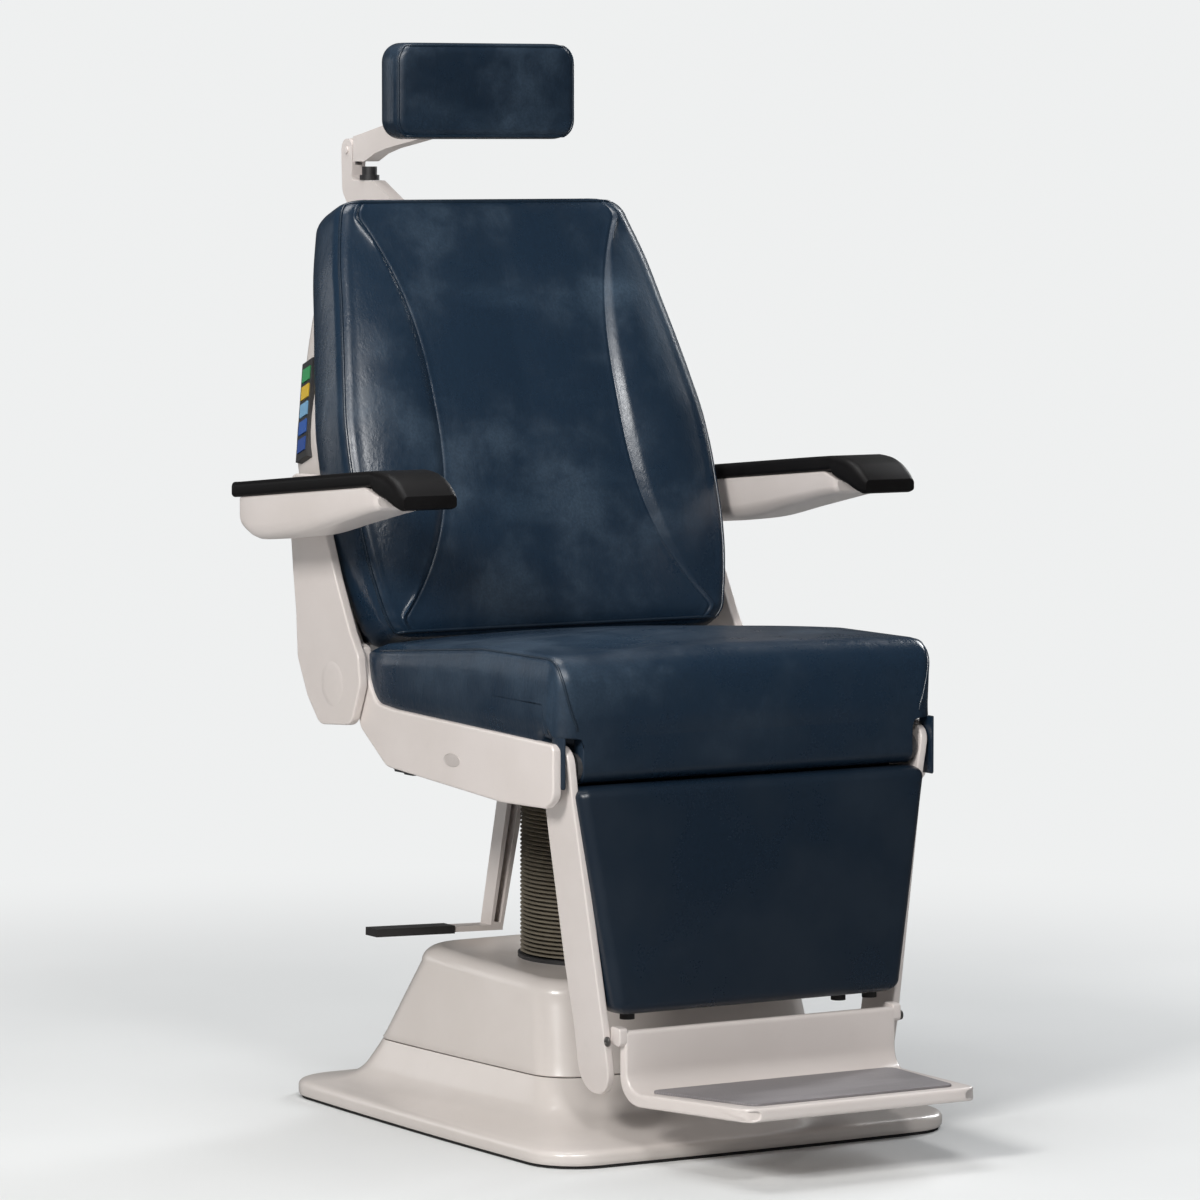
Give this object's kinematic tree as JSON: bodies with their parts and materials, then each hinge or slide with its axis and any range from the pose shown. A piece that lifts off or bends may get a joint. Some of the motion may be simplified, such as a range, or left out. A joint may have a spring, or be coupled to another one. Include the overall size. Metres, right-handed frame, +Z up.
{
  "type": "ophthalmic examination chair",
  "caption": "Powered eye examination chair: bellows lift column on a floor base, swivelling seat, linked back and leg rest, fold-up arms, footplate and a jointed headrest.",
  "frame": {"origin": "on the floor, at the middle of the base flange", "axes": "+Z up from the floor; the seated person faces -Y, with their right hand towards -X"},
  "size_m": [0.74, 1.245, 1.3245],
  "materials": {
    "enamel": "smooth baked enamel, warm off-white, satin gloss",
    "moulded_cover": "moulded off-white shell, low gloss",
    "leather": "fine-grained navy upholstery with self piping",
    "arm_foam": "black self-skinned foam, soft sheen",
    "rubber": "black moulded rubber",
    "tread": "grey ribbed rubber mat",
    "bellows_skin": "folded olive-grey coated cloth",
    "dark_steel": "black powder coat on welded steel",
    "bright_steel": "ground bright steel",
    "board": "birch plywood",
    "nylon": "natural nylon",
    "black_plastic": "moulded black plastic",
    "key_green": "printed membrane key",
    "key_yellow": "printed membrane key",
    "key_light_blue": "printed membrane key",
    "key_blue": "printed membrane key"
  },
  "bodies": {
    "base": {"base_mat": "rubber", "base_plate": "dark_steel", "base_skirt": "moulded_cover", "base_cover": "moulded_cover", "column_outer": "dark_steel", "guide_bushes": "nylon", "lift_cylinder": "dark_steel", "pump_unit": "dark_steel", "control_box": "black_plastic", "mains_inlet": "black_plastic", "bellows_lower_ring": "black_plastic", "bellows": "bellows_skin"},
    "lift": {"column_inner": "bright_steel", "lift_ram": "bright_steel", "lift_head": "dark_steel", "bellows_upper_ring": "black_plastic"},
    "seat": {"seat_frame": "dark_steel", "seat_board": "board", "seat_cushion": "leather", "seat_side_cover_right": "enamel", "seat_side_cover_left": "enamel", "under_pan": "enamel", "recline_actuator": "black_plastic", "leg_pivot_pins": "bright_steel"},
    "brake_lever": {"brake_lever": "enamel", "brake_grip": "rubber"},
    "backrest": {"back_frame": "dark_steel", "back_board": "board", "back_shell": "moulded_cover", "back_support_right": "enamel", "back_support_left": "enamel", "back_cushion": "leather", "keypad_housing": "black_plastic", "arm_pivot_pins": "bright_steel"},
    "key_1": {"key_1": "key_green"},
    "key_2": {"key_2": "key_yellow"},
    "key_3": {"key_3": "key_light_blue"},
    "key_4": {"key_4": "key_blue"},
    "key_5": {"key_5": "key_blue"},
    "sync_link": {"sync_link": "bright_steel"},
    "actuator_rod": {"actuator_rod": "bright_steel"},
    "legrest": {"leg_arm_right": "enamel", "leg_arm_left": "enamel", "leg_cross_bars": "dark_steel", "calf_board": "black_plastic", "calf_cushion": "leather", "foot_bumpers": "rubber", "foot_pivot_screws": "bright_steel"},
    "footplate": {"footplate": "enamel", "foot_mat": "tread"},
    "arm_right": {"arm_body_right": "enamel", "arm_pad_right": "arm_foam"},
    "arm_left": {"arm_body_left": "enamel", "arm_pad_left": "arm_foam"},
    "headrest_post": {"headrest_post": "enamel"},
    "headrest_arm": {"headrest_arm": "enamel"},
    "headrest_pad": {"headrest_plate": "black_plastic", "headrest_cushion": "leather"},
    "headrest_knob": {"headrest_knob": "black_plastic"}
  },
  "joints": [
    {"name": "lift", "type": "slide", "parent": "base", "child": "lift", "axis": [0, 0, 1], "range_m": [0, 0.24], "deforming": ["bellows"]},
    {"name": "swivel", "type": "hinge", "parent": "lift", "child": "seat", "pos_m": [0, 0.028, 0.404], "axis": [0, 0, 1], "continuous": true},
    {"name": "brake", "type": "hinge", "parent": "seat", "child": "brake_lever", "pos_m": [-0.048, 0.1533, 0.453], "axis": [0, 1, 0], "range_deg": [0, 15]},
    {"name": "recline", "type": "hinge", "parent": "seat", "child": "backrest", "pos_m": [0, 0.208, 0.532], "axis": [-1, 0, 0], "range_deg": [0, 60]},
    {"name": "link_pivot", "type": "hinge", "parent": "backrest", "child": "sync_link", "pos_m": [0, 0.227, 0.49909], "axis": [-1, 0, 0], "range_deg": [-60, 0]},
    {"name": "actuator_stroke", "type": "slide", "parent": "seat", "child": "actuator_rod", "axis": [0, -1, 0], "range_m": [0, 0.0693]},
    {"name": "leg_lift", "type": "hinge", "parent": "seat", "child": "legrest", "pos_m": [0, -0.295, 0.471], "axis": [-1, 0, 0], "range_deg": [0, 60]},
    {"name": "footplate_fold", "type": "hinge", "parent": "legrest", "child": "footplate", "pos_m": [0, -0.325, 0.1575], "axis": [-1, 0, 0], "range_deg": [0, 88]},
    {"name": "arm_right_fold", "type": "hinge", "parent": "backrest", "child": "arm_right", "pos_m": [-0.329, 0.257, 0.742], "axis": [-1, 0, 0], "range_deg": [0, 100]},
    {"name": "arm_left_fold", "type": "hinge", "parent": "backrest", "child": "arm_left", "pos_m": [0.329, 0.257, 0.742], "axis": [-1, 0, 0], "range_deg": [0, 100]},
    {"name": "headrest_height", "type": "slide", "parent": "backrest", "child": "headrest_post", "axis": [0, 0.3469, 0.9379], "range_m": [0, 0.09]},
    {"name": "headrest_elbow", "type": "hinge", "parent": "headrest_post", "child": "headrest_arm", "pos_m": [0, 0.67, 1.193], "axis": [-1, 0, 0], "range_deg": [-5, 40]},
    {"name": "headrest_tilt", "type": "hinge", "parent": "headrest_arm", "child": "headrest_pad", "pos_m": [0, 0.395, 1.268], "axis": [-1, 0, 0], "range_deg": [-20, 25]},
    {"name": "headrest_clamp", "type": "hinge", "parent": "headrest_post", "child": "headrest_knob", "pos_m": [0, 0.626, 1.153], "axis": [0, 0, 1], "range_deg": [0, 180]},
    {"name": "key_1_press", "type": "slide", "parent": "backrest", "child": "key_1", "axis": [0.9663, -0.0893, -0.2413], "range_m": [0, 0.0012], "stiffness_N_per_m": 800, "springref_m": -0.0005},
    {"name": "key_2_press", "type": "slide", "parent": "backrest", "child": "key_2", "axis": [0.9663, -0.0893, -0.2413], "range_m": [0, 0.0012], "stiffness_N_per_m": 800, "springref_m": -0.0005},
    {"name": "key_3_press", "type": "slide", "parent": "backrest", "child": "key_3", "axis": [0.9663, -0.0893, -0.2413], "range_m": [0, 0.0012], "stiffness_N_per_m": 800, "springref_m": -0.0005},
    {"name": "key_4_press", "type": "slide", "parent": "backrest", "child": "key_4", "axis": [0.9663, -0.0893, -0.2413], "range_m": [0, 0.0012], "stiffness_N_per_m": 800, "springref_m": -0.0005},
    {"name": "key_5_press", "type": "slide", "parent": "backrest", "child": "key_5", "axis": [0.9663, -0.0893, -0.2413], "range_m": [0, 0.0012], "stiffness_N_per_m": 800, "springref_m": -0.0005}
  ],
  "couplings": [
    {"joint": "leg_lift", "follows": "recline", "ratio": 1},
    {"joint": "link_pivot", "follows": "recline", "ratio": -1},
    {"joint": "actuator_stroke", "follows": "recline", "m_per_rad": 0.06616}
  ]
}
